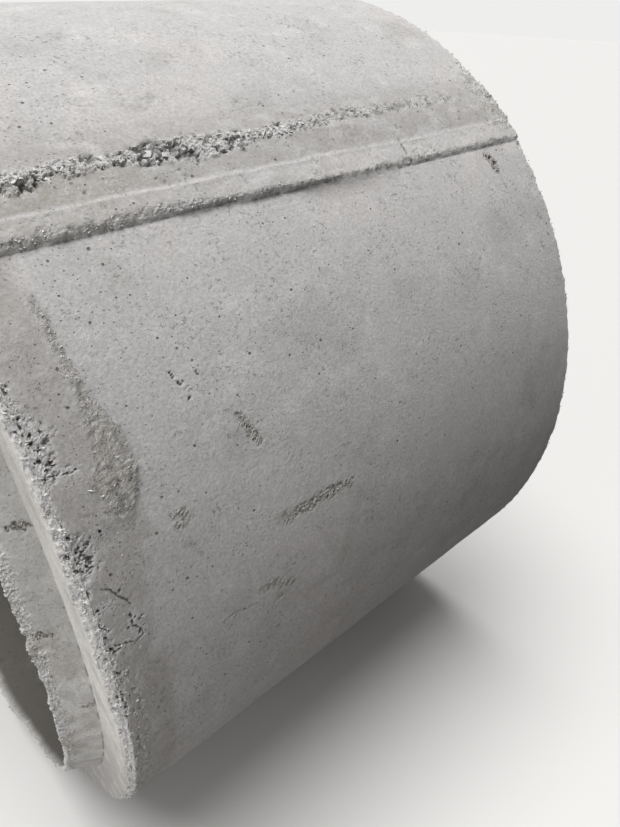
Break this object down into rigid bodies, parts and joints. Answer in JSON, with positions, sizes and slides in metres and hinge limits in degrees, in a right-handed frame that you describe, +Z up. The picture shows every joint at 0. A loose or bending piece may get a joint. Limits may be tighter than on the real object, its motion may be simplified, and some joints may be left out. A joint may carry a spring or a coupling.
{
  "type": "concrete sewer pipe",
  "caption": "Straight round concrete pipe with a tapered tongue at one end, a matching groove at the other, and a mould seam along the barrel.",
  "frame": {"origin": "on the ground, under the middle of the pipe", "axes": "+X along the bore, from the tongue to the groove; +Z up, as the pipe lies; the mould seam is on the -Y side, 45 degrees up"},
  "size_m": [1.048, 1.3999, 1.4],
  "materials": {
    "concrete": "matt grey cast concrete with fine pores, broken arrises and pale cement bloom"
  },
  "bodies": {
    "root": {"pipe": "concrete"}
  },
  "joints": []
}
